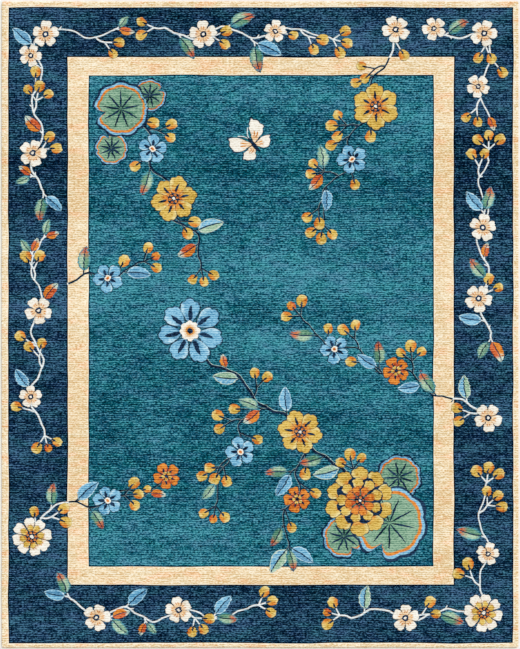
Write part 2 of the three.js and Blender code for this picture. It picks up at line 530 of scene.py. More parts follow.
def rug_ground(materials):
    """The rug's pile as one closed sheet: rows on top, a rounded edge and a flat underside."""
    across = lines_across(RIGHT, X_EDGES, PLAIN_STEP)
    along = lines_along()
    columns, rows = len(across), len(along)
    x, y = np.meshgrid(across, along)
    inward = np.minimum(np.minimum(RIGHT - np.abs(x), TOP - np.abs(y)), EDGE_ROUND)
    z = GROUND_LEVEL - EDGE_ROUND + np.sqrt(EDGE_ROUND**2 - (EDGE_ROUND - inward) ** 2)
    # Square corners are drawn in to a round
    past_x = np.maximum(np.abs(x) - (RIGHT - CORNER_RADIUS), 0)
    past_y = np.maximum(np.abs(y) - (TOP - CORNER_RADIUS), 0)
    drawn_in = np.maximum(past_x, past_y) / np.maximum(np.hypot(past_x, past_y), 1e-6)
    pull = np.where((past_x > 0) & (past_y > 0), 1 - drawn_in, 0)
    round_x = x - np.sign(x) * past_x * pull
    round_y = y - np.sign(y) * past_y * pull
    top = np.stack([round_x, round_y, z], axis=-1).reshape(-1, 3)
    number = np.arange(rows * columns).reshape(rows, columns)
    faces = cells_of(number)
    middle_x = (x[:-1, :-1] + x[1:, 1:]) / 2
    middle_y = (y[:-1, :-1] + y[1:, 1:]) / 2
    bands = band_at(middle_x, middle_y).ravel().tolist()
    faces = faces.tolist()
    # The same outline again on the floor, a little drawn in
    low_row, high_row = number[0], number[-1]
    left_side, right_side = number[1:-1, 0], number[1:-1, -1]
    outline = np.concatenate([low_row, right_side, high_row[::-1], left_side[::-1]])
    under = top[outline] * (1 - UNDER_INSET / RIGHT, 1 - UNDER_INSET / TOP, 0)
    first = rows * columns
    below = {int(v): first + k for k, v in enumerate(outline)}
    for here, there in zip(outline, np.roll(outline, -1)):
        faces.append([int(here), below[int(here)], below[int(there)], int(there)])
        bands.append(0)
    for row in range(rows - 1):
        near = low_row if row == 0 else number[row][[0, -1]]
        far = high_row if row == rows - 2 else number[row + 1][[0, -1]]
        faces.append([below[int(v)] for v in near[::-1]] + [below[int(v)] for v in far])
        bands.append(4)
    inside = np.clip(inward.ravel() / EDGE_ROUND, 0, 1)
    pile = np.concatenate([0.3 + 0.7 * inside, np.zeros(len(outline))])
    free = np.concatenate([np.where(inside < 1, 0.2, 1.0), np.zeros(len(outline))])
    carve = np.concatenate([near_edges(x, y).ravel(), np.zeros(len(outline))])
    host = mesh_object(
        "rug_ground",
        np.concatenate([top, under]),
        faces=faces,
        attributes=[
            ("pile", "FLOAT", "POINT", pile),
            ("free", "FLOAT", "POINT", free),
            ("carve", "FLOAT", "POINT", carve),
            ("band", "INT", "FACE", bands),
        ],
    )
    values = {"Row pitch": ROW_PITCH * MM, "Row depth": ROW_DEPTH * MM}
    values |= {"Carve depth": CARVE_DEPTH * MM, "Wander": BOUNDARY_WANDER * MM}
    return grown(host, ground_tree(), values | dict(zip(BANDS, materials)))


# Shapes of the motifs: a disc of square cells, drawn out into a petal, a leaf, a bud or a pad
SKIRT = 3.0
EDGE_RING = 0.06
SIDE_VEINS = 6
SIDE_VEIN_SLANT = 1.3
PAD_RINGS = (0.74, 0.82, 0.9)
PAD_VEINS = 9


def carved_shape(name, cells, outline, crown):
    """A closed low cushion. outline turns a unit disc into a shape from 0 to 1 along X, and crown gives its
    height above the ground for each distance from the middle, 0, to the rim, 1."""
    steps = np.concatenate([[-1], np.linspace(EDGE_RING - 1, 1 - EDGE_RING, cells - 1), [1]])
    u, v = (a.ravel() for a in np.meshgrid(steps, steps))
    disc_x = u * np.sqrt(1 - v**2 / 2)
    disc_y = v * np.sqrt(1 - u**2 / 2)
    rim = np.hypot(disc_x, disc_y)
    along, across = outline(disc_x, disc_y, rim)
    height = np.where(rim > 1 - 1e-6, -SKIRT, crown(rim, disc_x, disc_y))
    number = np.arange((cells + 1) ** 2).reshape(cells + 1, cells + 1)
    faces = cells_of(number)
    ring = np.concatenate([number[0, :-1], number[:-1, -1], number[-1, :0:-1], number[:0:-1, 0]])
    # The four cells at the square's corners are cut from the corner, so that none folds on to the underside
    corner_cells = [0, cells - 1, cells**2 - 1, cells**2 - cells]
    halves = []
    for turn, cell in enumerate(corner_cells):
        corner, near, middle, far = np.roll(faces[cell], -turn).tolist()
        halves += [[corner, near, middle], [corner, middle, far]]
    faces = np.delete(faces, corner_cells, axis=0)
    share = (disc_x + 1) / 2
    slant = share * SIDE_VEINS - np.abs(disc_y) * SIDE_VEIN_SLANT
    strokes = ((disc_x + 0.2) / 0.3) ** 2 + ((np.abs(disc_y) - 0.24) / 0.14) ** 2
    return mesh_object(
        name,
        np.stack([along / MM, across / MM, height], axis=-1),
        faces=faces.tolist() + halves + [ring[::-1].tolist()],
        attributes=[
            ("along", "FLOAT", "POINT", share),
            ("across", "FLOAT", "POINT", disc_y),
            ("rim", "FLOAT", "POINT", rim),
            ("vein", "FLOAT", "POINT", np.clip(1 - np.abs(disc_y) * 4, 0, 1)),
            ("side_vein", "FLOAT", "POINT", np.abs(slant - np.floor(slant) - 0.5) * 2),
            ("stroke", "FLOAT", "POINT", np.exp(-strokes)),
        ],
    )


def heart_petal(x, y, rim):
    """Narrow where it leaves the flower's middle, broad and notched at its end."""
    s = (x + 1) / 2
    notch = 0.09 * rim**4 * np.exp(-((np.arctan2(y, x) / 0.3) ** 2))
    return s * (1 - notch), y * 0.5 * (0.38 + 0.74 * s)


def wing(x, y, rim):
    """Narrow at the body, with a waved outer edge drawn out to a point on one side."""
    s = (x + 1) / 2
    wave = 1 - 0.07 * rim**3 * (1 - np.abs(np.cos(4 * np.arctan2(y, x))))
    point = 0.22 * s * rim**2 * np.exp(-(((np.arctan2(y, x) - 0.75) / 0.4) ** 2))
    return s * (wave + point), y * 0.5 * (0.16 + 1.1 * s) * wave + 0.12 * s**2


def lobed_petal(x, y, rim):
    """Longer, with a rounded tip between two shoulders."""
    s = (x + 1) / 2
    shoulder = 0.1 * rim**4 * np.exp(-(((np.abs(np.arctan2(y, x)) - 0.55) / 0.16) ** 2))
    return s * (1 - shoulder), y * 0.5 * (0.44 + 0.66 * np.sin(math.pi * 0.64 * s**1.1)) * (1 - shoulder)


def blade(x, y, rim):
    """A leaf: pointed at both ends, fullest nearer its stalk, its tip swept to one side."""
    s = (x + 1) / 2
    taper = (1 - np.abs(x) ** 3) ** 0.5
    sweep = 0.1 * np.sin(math.pi * s) - 0.03
    return s, y * 0.5 * taper * (1.32 - 0.55 * s) + sweep


def egg(x, y, rim):
    """A bud, rounder at its far end."""
    s = (x + 1) / 2
    return s, y * 0.5 * (0.82 + 0.24 * s)


def disc(x, y, rim):
    """A plain round, set on its middle."""
    return x / 2, y / 2


def scallop(x, y, rim):
    """A round with eight lobes, set on its middle."""
    wave = 1 - 0.2 * rim**3 * (1 - np.abs(np.cos(4 * np.arctan2(y, x))))
    return x / 2 * wave, y / 2 * wave


def lily_pad(x, y, rim):
    """A round floating leaf with a waved rim and a cleft where its stalk comes up."""
    bearing = np.arctan2(y, x)
    cleft = 0.42 * np.exp(-(((math.pi - np.abs(bearing)) / 0.16) ** 2))
    wave = 1 - 0.09 * rim**3 * (1 - np.abs(np.cos(PAD_VEINS / 2 * bearing))) - cleft * rim**2
    return x / 2 * wave, y / 2 * wave


def cushion(rim, x, y):
    """Flat on top, falling off towards the carved rim."""
    return MOTIF_RELIEF * (1 - 0.2 * rim**4)


def veined(rim, x, y):
    """As a cushion, with a groove along its middle."""
    return cushion(rim, x, y) - 0.7 * np.exp(-((y / 0.1) ** 2))


def ringed(rim, x, y):
    """As a cushion, with a groove round it inside each coloured ring."""
    cuts = sum(np.exp(-(((rim - r) / 0.02) ** 2)) for r in PAD_RINGS)
    return cushion(rim, x, y) - 0.6 * cuts


# Motifs: the shape of each, then its wool: yarns and where each later yarn shows
# THIN_EDGE and PETAL_EDGE lay ink round a motif's rim: partly a dark outline, partly painted shade where the
# carved edge falls away to the ground
THIN_EDGE = ("rim", 0.93, 0.985, 0.05)
PETAL_EDGE = ("rim", 0.86, 0.95, 0.06)
PALE_EDGE = ("rim", 0.78, 0.9, 0.25)
HAZE = ("rim", 0.62, 1.0, 1.1)
MIDRIB = ("vein", 0.5, 0.75, 0.1)
HALVES = ("across", -0.06, 0.06, 0.12)
SIDE_LINES = ("side_vein", 0.7, 1.0, 0.2)
MOTIFS = {
    "ivory_petals": ("heart", ("ivory", "peach", "amber", "ink"), (
        ("along", 0.6, 0.28, 0.35), ("stroke", 0.35, 0.65, 0.25), THIN_EDGE)),
    "gold_petals": ("lobed", ("gold", "orange", "straw", "ink"), (
        ("along", 0.5, 0.2, 0.5), ("across", 0.35, 0.8, 0.5), PETAL_EDGE)),
    "blue_petals": ("lobed", ("sky", "steel", "frost", "ink"), (
        ("along", 0.45, 0.15, 0.6), ("across", 0.35, 0.85, 0.6), PETAL_EDGE)),
    "orange_petals": ("heart", ("orange", "rust", "ink"), (("along", 0.6, 0.25, 0.5), PETAL_EDGE)),
    "ink_eyes": ("disc", ("ink",), ()),
    "ink_rounds": ("scallop", ("ink", "leaf"), (("rim", 0.5, 0.2, 0.9),)),
    "cream_eyes": ("disc", ("ivory",), ()),
    "cream_centres": ("scallop", ("ivory", "peach"), (("rim", 0.75, 0.45, 0.25),)),
    "amber_eyes": ("disc", ("amber", "rust"), (("rim", 0.7, 0.3, 0.4),)),
    # On each bud one half is darker, orange on the gold buds and rust on the orange ones: partly the bud's
    # own second dye, partly painted shade on one side
    "gold_buds": ("egg", ("gold", "orange", "straw", "ink"), (
        ("across", 0.1, -0.7, 0.9), ("along", 0.6, 0.95, 0.3), THIN_EDGE)),
    "orange_buds": ("egg", ("orange", "rust", "gold", "ink"), (
        ("across", 0.0, -0.7, 0.9), ("along", 0.7, 1.0, 0.3), THIN_EDGE)),
    "sage_sky_leaves": ("blade", ("sage", "sky", "pale", "pale", "ink"), (
        HALVES, SIDE_LINES, PALE_EDGE, MIDRIB)),
    "sage_rust_leaves": ("blade", ("leaf", "sage", "rust", "teal", "ink"), (
        HALVES, ("along", 0.5, 0.8, 0.6), HAZE, MIDRIB)),
    "rust_leaves": ("blade", ("rust", "orange", "pale", "ink"), (HALVES, ("along", 0.62, 0.86, 0.7), MIDRIB)),
    "sky_leaves": ("blade", ("steel", "sky", "frost", "ink"), (HALVES, PALE_EDGE, MIDRIB)),
    "green_leaves": ("blade", ("moss", "sage", "pale", "teal", "ink"), (HALVES, SIDE_LINES, HAZE, MIDRIB)),
    "ivory_wings": ("wing", ("ivory", "peach", "amber", "ink"), (
        ("along", 0.55, 0.2, 0.4), ("stroke", 0.3, 0.6, 0.25), ("rim", 0.86, 0.93, 0.08))),
    "green_pads": ("lily_pad", ("leaf", "moss", "orange", "sky", "ink"), (
        ("rim", 0.1, 0.6, 0.9), *(("rim", r - 0.01, r + 0.01, 0.03) for r in PAD_RINGS))),
    "ink_veins": ("sliver", ("ink",), ()),
}
LEAF_SIZES = {
    "sage_sky_leaves": (128, 60), "sage_rust_leaves": (122, 56), "rust_leaves": (98, 48),
    "sky_leaves": (116, 54), "green_leaves": (112, 52),
}
BUD_SIZES = {"gold_buds": (56, 52), "orange_buds": (46, 44)}


# The height of one layer of pile over another, and of one petal over the next, in layers
LAYER = 0.22
PETAL_STEP = 0.8

# How much hand work differs: sizes as shares, and turns in radians to either side
PETAL_SIZES = (0.94, 1.06)
LEAF_AND_BUD_SIZES = (0.88, 1.12)
PETAL_SWING = 0.07
TWIG_SWING = 0.12
END_FLOWER_SWING = 0.5
STEM_FLOWER_SWING = 0.4
VEIN_WIDTH = 9.0


class Places:
    """Points where one motif is set, with their turn, size and dye tone."""

    def __init__(self):
        self.spots, self.turns, self.sizes, self.tones = [], [], [], []

    def add(self, x, y, layer, turn, length, width):
        self.spots.append((x, y, GROUND_LEVEL + LAYER * layer))
        self.turns.append(turn)
        self.sizes.append((length * MM, width * MM, 1.0))
        self.tones.append(draw.random())


places = {motif: Places() for motif in MOTIFS}
stems = {"pale_stems": [], "ink_stems": []}

# Flowers: rings of motifs from the outside in. Columns: motif, count, start from the middle, length, width
# and layer
FLOWERS = {
    "blossom": (
        ("ivory_petals", 5, 6, 61, 63, 2), ("ink_eyes", 1, 0, 31, 31, 5), ("cream_eyes", 1, 0, 14, 14, 7),
    ),
    "small_blossom": (
        ("ivory_petals", 5, 5, 52, 53, 2), ("ink_eyes", 1, 0, 26, 26, 5), ("cream_eyes", 1, 0, 12, 12, 7),
    ),
    "ivory_daisy": (
        ("ivory_petals", 8, 24, 70, 62, 2), ("gold_petals", 8, 16, 44, 30, 4), ("ink_eyes", 1, 0, 56, 56, 6),
        ("amber_eyes", 7, 19, 12, 12, 8), ("cream_eyes", 1, 0, 18, 18, 8),
    ),
    "gold_daisy": (
        ("gold_petals", 6, 10, 100, 84, 2), ("ink_veins", 6, 30, 44, 11, 5), ("ink_eyes", 1, 0, 56, 56, 6),
        ("amber_eyes", 6, 18, 13, 13, 8), ("cream_eyes", 1, 0, 15, 15, 8),
    ),
    "blue_star": (
        ("blue_petals", 7, 34, 128, 100, 2), ("ink_veins", 7, 44, 78, 20, 5),
        ("cream_centres", 1, 0, 100, 100, 6), ("amber_eyes", 1, 0, 44, 44, 7), ("ink_eyes", 1, 0, 28, 28, 8),
    ),
    "blue_blossom": (
        ("blue_petals", 5, 9, 64, 58, 2), ("ink_veins", 5, 12, 34, 13, 5), ("cream_eyes", 1, 0, 30, 30, 6),
        ("amber_eyes", 1, 0, 16, 16, 7),
    ),
    "orange_blossom": (
        ("orange_petals", 5, 7, 60, 66, 2), ("ink_veins", 5, 14, 28, 9, 5), ("gold_petals", 5, 4, 24, 18, 5),
        ("ink_eyes", 1, 0, 17, 17, 7),
    ),
    "gold_crown": (
        ("gold_petals", 10, 76, 92, 88, 0), ("ink_rounds", 1, 0, 236, 236, 3.2),
        ("gold_petals", 9, 46, 64, 52, 5.4), ("orange_petals", 8, 18, 56, 46, 7.6),
        ("ink_eyes", 1, 0, 50, 50, 9.6), ("amber_eyes", 6, 15, 13, 13, 11), ("cream_eyes", 1, 0, 12, 12, 11),
    ),
}


# Layers by which each kind of flower lies over what is beside it
FLOWER_LIFT = {
    "small_blossom": 2, "blossom": 4, "orange_blossom": 2, "blue_blossom": 4, "ivory_daisy": 6,
    "gold_daisy": 6, "blue_star": 8, "gold_crown": 7,
}


def flower(spot, kind, turn):
    """One flower, ring by ring. Neighbouring petals lie at different heights, so that each edge shows."""
    for motif, count, start, length, width, layer in FLOWERS[kind]:
        layer += FLOWER_LIFT[kind]
        for k in range(count):
            step = 2 if k == count - 1 and count % 2 else k % 2
            angle = turn + 2 * math.pi * k / count
            size = 1 if count == 1 else draw.uniform(*PETAL_SIZES)
            swing = 0 if count == 1 else draw.uniform(-PETAL_SWING, PETAL_SWING)
            foot = spot + start * toward(angle)
            height = layer + PETAL_STEP * step
            places[motif].add(*foot, height, angle + swing, length * size, width * size)


STEM_WIDTH = 10.5
STEM_STEP = 6.0
STEM_RELIEF = 0.9
STEM_SINK = 0.6
KNEE_EVERY = 48.0
KNEE_REACH = 6.0
SPUR_EVERY = 260.0
SPUR_LENGTH = 19.0


def smooth_line(points, step=STEM_STEP):
    """A line through given points, with a point every few millimetres and an easy bend at each."""
    points = np.array(points, float)
    padded = np.vstack([2 * points[0] - points[1], points, 2 * points[-1] - points[-2]])
    line = []
    for a, b, c, d in zip(padded, padded[1:], padded[2:], padded[3:]):
        count = max(2, round(np.linalg.norm(c - b) / step))
        for t in np.linspace(0, 1, count, endpoint=False):
            curve = 2 * b + (c - a) * t + (2 * a - 5 * b + 4 * c - d) * t**2 + (3 * b - a - 3 * c + d) * t**3
            line.append(0.5 * curve)
    return np.array(line + [points[-1]])


def crooked(line):
    """The line with the small knees of an old twig, first to one side and then to the other."""
    run = np.concatenate([[0], np.cumsum(np.linalg.norm(np.diff(line, axis=0), axis=1))])
    knees = max(2, round(run[-1] / KNEE_EVERY))
    offsets = KNEE_REACH * draw.uniform(0.2, 1, knees + 1) * (-1.0) ** np.arange(knees + 1)
    offsets[[0, -1]] = 0
    aside = np.interp(run, np.linspace(0, run[-1], knees + 1), offsets)
    ahead = np.gradient(line, axis=0)
    ahead /= np.linalg.norm(ahead, axis=1)[:, None]
    return line + aside[:, None] * np.stack([-ahead[:, 1], ahead[:, 0]], axis=1)


def spurs(line, width):
    """Short bare stubs along a stem."""
    count = int(len(line) * STEM_STEP / SPUR_EVERY)
    for k in range(count):
        spot, heading = place_on(line, (k + draw.random()) / count)
        course = heading + draw.choice([-0.8, 0.8])
        tip = spot + draw.uniform(0.7, 1.2) * SPUR_LENGTH * toward(course)
        stem(np.array([spot, (spot + tip) / 2, tip]), width * 0.8, width * 0.5)


def stem(line, start_width, end_width):
    """A stem, pale on the dark border and ink on the frame and the field."""
    on_border = band_at(line[:, 0], line[:, 1]) < 2
    widths = np.linspace(start_width, end_width, len(line))
    first = 0
    for k in range(1, len(line) + 1):
        if k == len(line) or on_border[k] != on_border[first]:
            last = min(k + 1, len(line))
            name = "pale_stems" if on_border[first] else "ink_stems"
            if last - first > 1:
                stems[name].append((line[first:last], widths[first:last]))
            first = k


def place_on(line, at):
    """The point and the direction a share of the way along a line."""
    k = min(int(at * (len(line) - 1)), len(line) - 2)
    ahead = line[k + 1] - line[k]
    spot = line[-1] if at >= 1 else line[k]
    return spot, math.atan2(ahead[1], ahead[0])


TWIG_WIDTH = 9.0
LEAF_STALK = 16.0
BUD_STALK = 40.0


def sprout(spot, heading, kind, share, side):
    """A leaf, a bud or a flower on its own stalk, at the end of a twig."""
    ahead = toward(heading)
    if kind in FLOWERS:
        flower(spot, kind, heading + draw.uniform(-END_FLOWER_SWING, END_FLOWER_SWING))
        return
    stalk = LEAF_STALK if kind in LEAF_SIZES else BUD_STALK
    foot = spot + ahead * stalk * share
    stem(np.array([spot, (spot + foot) / 2, foot + ahead * 4]), TWIG_WIDTH, TWIG_WIDTH * 0.8)
    size = share * draw.uniform(*LEAF_AND_BUD_SIZES)
    if kind in LEAF_SIZES:
        length, width = LEAF_SIZES[kind]
        layer = 1 + 1.2 * (len(places[kind].spots) % 3)
        places[kind].add(*foot, layer, heading, length * size, width * size * side)
    else:
        length, width = BUD_SIZES[kind]
        places[kind].add(*foot, 1, heading, length * size, width * size)
        places["ink_veins"].add(*(foot - ahead * 4), 3, heading, length * size * 0.55, VEIN_WIDTH)


# Growths on a stem: the twig's length, its angle to the stem, the size of what sprouts from its end as a
# share of the full size, and what that is, at which angle
GROWTHS = {
    "sky": (0, 0.8, 1.0, (("sky_leaves", 0),)),
    "rust": (0, 0.75, 1.0, (("rust_leaves", 0),)),
    "sage": (0, 0.8, 1.0, (("sage_sky_leaves", 0),)),
    "tipped": (0, 0.8, 1.0, (("sage_rust_leaves", 0),)),
    "green": (0, 0.85, 1.0, (("green_leaves", 0),)),
    "gold": (22, 0.75, 1.0, (("gold_buds", 0),)),
    "small_rust": (0, 0.8, 0.72, (("rust_leaves", 0),)),
    "small_sky": (0, 0.8, 0.7, (("sky_leaves", 0),)),
    "small_green": (0, 0.8, 0.7, (("green_leaves", 0),)),
    "small_gold": (4, 0.8, 0.8, (("gold_buds", 0),)),
    "gold_pair": (50, 0.7, 1.0, (("gold_buds", -0.45), ("gold_buds", 0.5))),
    "gold_trio": (56, 0.6, 1.0, (("gold_buds", -0.85), ("gold_buds", 0), ("gold_buds", 0.85))),
    "mixed_trio": (56, 0.6, 1.0, (("gold_buds", -0.85), ("orange_buds", 0), ("gold_buds", 0.85))),
    "orange_pair": (40, 0.7, 1.0, (("orange_buds", -0.4), ("orange_buds", 0.5))),
    "leaf_pair": (26, 0.7, 1.0, (("sage_rust_leaves", -0.5), ("sky_leaves", 0.45))),
    "green_pair": (26, 0.7, 1.0, (("green_leaves", -0.5), ("rust_leaves", 0.5))),
    "small_pair": (16, 0.7, 0.72, (("rust_leaves", -0.5), ("green_leaves", 0.5))),
    "leaf_trio": (36, 0.6, 1.0, (("sage_sky_leaves", -0.8), ("sage_rust_leaves", 0), ("sky_leaves", 0.8))),
    "bud_spray": (70, 0.6, 1.0, (
        ("green_leaves", -1.15), ("gold_buds", -0.4), ("gold_buds", 0.4), ("rust_leaves", 1.15))),
    "white_twig": (84, 0.65, 1.0, (("small_blossom", 0),)),
    "blue_twig": (104, 0.6, 1.0, (("blue_blossom", 0),)),
    "orange_twig": (96, 0.6, 1.0, (("orange_blossom", 0),)),
}
SMALLER_GROWTHS = ("small_pair", "tipped", "gold", "small_rust", "small_sky", "small_green", "small_gold")


EDGE_CLEAR = 44.0
OVERLAP = 5.0
taken = []


def spaces(kind, spot, heading, share=1.0):
    """The rounds that a sprout takes up: their middles and radii."""
    ahead = share * toward(heading)
    if kind in FLOWERS:
        rings = [start + length for motif, count, start, length, *rest in FLOWERS[kind] if count > 1]
        return [(spot, max(rings))]
    if kind in LEAF_SIZES:
        length, width = LEAF_SIZES[kind]
        return [(spot + ahead * (LEAF_STALK + length * s), share * width * 0.42) for s in (0.25, 0.55, 0.85)]
    length, width = BUD_SIZES[kind]
    return [(spot + ahead * (BUD_STALK + length / 2), share * width / 2)]


def is_free(rounds):
    """Whether rounds lie inside the guard stripe and clear of all that is already there."""
    for (x, y), radius in rounds:
        if abs(x) + radius > RIGHT - EDGE_CLEAR or abs(y) + radius > TOP - EDGE_CLEAR:
            return False
        if any(math.hypot(x - a, y - b) < radius + other - OVERLAP for (a, b), other in taken):
            return False
    return True


def grow(spot, heading, growth, sides):
    """A twig and what sprouts from its end. It goes to the first of the sides, shares of its angle to the
    stem, where it has room. Where it has none a smaller growth takes its place, or the stem stays bare."""
    for choice in (growth, *SMALLER_GROWTHS):
        length, angle, share, ends = GROWTHS[choice]
        for side in sides:
            course = heading + side * angle + draw.uniform(-TWIG_SWING, TWIG_SWING)
            ahead = toward(course)
            tip = spot + ahead * length
            rounds = [r for kind, spread in ends for r in spaces(kind, tip, course + spread, share)]
            if not is_free(rounds):
                continue
            taken.extend(rounds)
            if length:
                aside = np.array([-ahead[1], ahead[0]]) * (1 if side >= 0 else -1)
                middle = spot + ahead * length * 0.5 + aside * length * 0.1
                stem(smooth_line([spot, middle, tip]), TWIG_WIDTH + 1, TWIG_WIDTH)
            for kind, spread in ends:
                sprout(tip, course + spread, kind, share, 1 if spread >= 0 else -1)
            return


# Sprays: the stem's line and width, what grows along it in turn to its left and right, what ends it, what
# starts it, and its flowers by their place along it
SPRAYS = (
    {   # along the bottom border
        "stem": (
            (-880, -1300), (-770, -1378), (-640, -1335), (-500, -1398), (-350, -1340), (-220, -1388),
            (-60, -1340),
        ),
        "grows": "tipped green_pair sky gold_pair rust gold_trio leaf_pair tipped",
        "flowers": ((0.15, "blossom"), (0.62, "blossom")),
        "end": "gold_trio",
        "start": "leaf_pair",
    },
    {   # round the lower right corner
        "stem": (
            (430, -1385), (560, -1340), (720, -1392), (880, -1345), (1052, -1362), (1035, -1200),
            (1080, -1060), (1030, -920), (1062, -800),
        ),
        "grows": "sage rust gold_pair tipped - - gold_pair green_pair tipped gold_trio",
        "flowers": ((0.22, "blossom"), (0.53, "ivory_daisy"), (0.76, "small_blossom")),
        "end": "gold_trio",
        "start": "mixed_trio",
    },
    {   # up the right border
        "stem": ((1090, -40), (1030, 100), (1082, 240), (1022, 390), (1075, 530), (1030, 660), (1078, 770)),
        "grows": "sky gold_pair tipped sage gold_trio leaf_pair rust gold_pair",
        "flowers": ((0.2, "blossom"), (0.62, "blossom")),
        "end": "gold_trio",
        "start": "green_pair",
    },
    {   # round the upper right corner
        "stem": ((820, 1395), (930, 1350), (1060, 1372), (1082, 1240), (1030, 1110), (1078, 990)),
        "grows": "tipped - gold_pair leaf_pair green gold_pair",
        "flowers": ((0.0, "small_blossom"), (0.38, "blossom"), (0.78, "small_blossom")),
        "end": "leaf_trio",
    },
    {   # along the top border
        "stem": ((-450, 1400), (-310, 1350), (-170, 1402), (-20, 1352), (130, 1398), (290, 1358)),
        "grows": "tipped gold_pair sage leaf_pair rust gold_pair",
        "flowers": ((0.26, "blossom"), (0.72, "small_blossom")),
        "end": "gold_trio",
        "start": "gold_pair",
    },
    {   # up the left border and round the upper left corner
        "stem": (
            (-1030, 640), (-1082, 770), (-1022, 900), (-1078, 1040), (-1025, 1180), (-1062, 1330),
            (-930, 1392), (-800, 1350), (-690, 1388),
        ),
        "grows": "sage gold_pair rust gold_trio tipped white_twig sky - - gold_pair",
        "flowers": ((0.16, "blossom"), (0.71, "blossom")),
        "end": "mixed_trio",
        "start": "leaf_pair",
    },
    {   # up the left border, middle
        "stem": (
            (-1030, -470), (-1085, -330), (-1022, -180), (-1080, -30), (-1025, 120), (-1080, 260),
            (-1030, 400),
        ),
        "grows": "tipped sky gold_pair sage gold_trio rust gold_pair leaf_pair",
        "flowers": ((0.15, "small_blossom"), (0.62, "blossom")),
        "end": "gold_trio",
        "start": "mixed_trio",
    },
    {   # from the left border across the frame into the lower left of the field
        "stem": (
            (-1075, -1000), (-1000, -880), (-890, -835), (-770, -860), (-650, -780), (-540, -800),
            (-440, -715),
        ),
        "grows": "sage gold_pair tipped - sky orange_pair leaf_pair gold_trio rust green bud_spray sage",
        "flowers": ((0.0, "ivory_daisy"), (0.58, "blue_blossom"), (1.0, "orange_blossom")),
    },
    {   # the main branch, from the pads in the lower right up to the middle
        "stem": (
            (600, -930), (480, -765), (360, -660), (240, -580), (140, -440), (0, -375), (-110, -235),
            (-240, -180), (-330, -30),
        ),
        "width": 19,
        "grows": "green leaf_pair gold_trio sage tipped rust bud_spray "
        "sky green_pair gold_pair sage orange_twig leaf_pair gold",
        "flowers": ((0.45, "gold_daisy"), (1.0, "blue_star")),
    },
    {   # a side branch of it, to the left
        "stem": ((0, -375), (-95, -470), (-90, -590), (-190, -670), (-200, -800)),
        "width": 12,
        "grows": "sage gold_pair tipped rust gold_trio sky green",
        "flowers": ((0.52, "blue_blossom"),),
        "end": "mixed_trio",
    },
    {   # another, to the right, under the main branch
        "stem": ((240, -580), (170, -690), (190, -800), (110, -890), (130, -1010)),
        "width": 12,
        "grows": "gold_pair leaf_pair rust sage gold tipped",
        "flowers": ((0.58, "orange_blossom"),),
        "end": "leaf_trio",
    },
    {   # from the top border down into the upper right of the field
        "stem": (
            (640, 1390), (610, 1250), (520, 1140), (540, 1000), (420, 890), (430, 750), (310, 650),
            (300, 530),
        ),
        "grows": "tipped - gold_pair sage leaf_pair rust sky gold_trio "
        "green sage tipped bud_spray sky gold_pair",
        "flowers": ((0.0, "blossom"), (0.4, "gold_daisy"), (0.7, "blue_blossom")),
        "end": "gold_trio",
    },
    {   # from the right border across the frame, towards the middle
        "stem": (
            (1075, -440), (950, -355), (820, -330), (690, -215), (570, -230), (450, -110), (330, -110),
            (230, 0),
        ),
        "grows": "gold_pair sage - tipped sky gold_trio rust leaf_pair green gold_pair sage blue_twig tipped",
        "flowers": ((0.0, "blossom"), (0.5, "orange_blossom"), (0.83, "blue_blossom")),
        "end": "mixed_trio",
    },
    {   # down from the pads in the upper left
        "stem": ((-620, 990), (-500, 880), (-520, 750), (-400, 640), (-420, 510), (-300, 430), (-290, 320)),
        "width": 15,
        "grows": "rust gold_pair sage sky leaf_pair gold_trio tipped green gold_pair orange_twig sage rust",
        "flowers": ((0.26, "blue_blossom"), (0.6, "gold_daisy")),
        "end": "gold_trio",
    },
    {   # a twig from the left frame
        "stem": ((-909, 190), (-800, 245), (-700, 215), (-600, 275)),
        "width": 12,
        "grows": "- tipped gold_pair sage rust sky",
        "flowers": ((0.62, "blue_blossom"),),
        "end": "mixed_trio",
    },
)

# Floating leaves in clumps: place, width across and turn. Later ones lie over earlier ones
PADS = (
    (655, -720, 230, 0.4), (395, -1000, 220, 2.2), (610, -935, 380, 1.2), (-700, 830, 170, 5.0),
    (-520, 1080, 170, 3.6), (-655, 1015, 280, 0.2),
)
PAD_STEP = 2.0
CROWN_AT = np.array([470, -830])
BUTTERFLY_AT = np.array([-30, 850])
# Wings: turn from the body's line, length and width
WINGS = ((0.95, 118, 92), (2.15, 84, 76))
BODY_LENGTH = 92.0
BODY_WIDTH = 17.0
FEELER = ((0.36, 0.0), (0.62, 0.12), (0.84, 0.34))
FEELER_WIDTHS = (6, 5)


def pad(x, y, size, turn, layer):
    """A floating leaf with dark veins from its middle to its rings."""
    places["green_pads"].add(x, y, layer, turn, size, size)
    for k in range(PAD_VEINS):
        angle = turn + math.pi + 2 * math.pi * (k + 0.5) / PAD_VEINS
        places["ink_veins"].add(x, y, layer + 1, angle, size * 0.34, VEIN_WIDTH)


def butterfly(spot, turn):
    """Two pairs of pale wings with dark edges on a dark body, with two feelers."""
    ahead = toward(turn)
    places["ink_veins"].add(*(spot - ahead * BODY_LENGTH / 2), 6, turn, BODY_LENGTH, BODY_WIDTH)
    for side in (-1, 1):
        aside = np.array([-ahead[1], ahead[0]]) * side
        for k, (angle, length, width) in enumerate(WINGS):
            places["ivory_wings"].add(*spot, 3 - k, turn + side * angle, length, -side * width)
        feeler = smooth_line([spot + BODY_LENGTH * (on * ahead + off * aside) for on, off in FEELER])
        stems["pale_stems"].append((feeler, np.linspace(*FEELER_WIDTHS, len(feeler))))


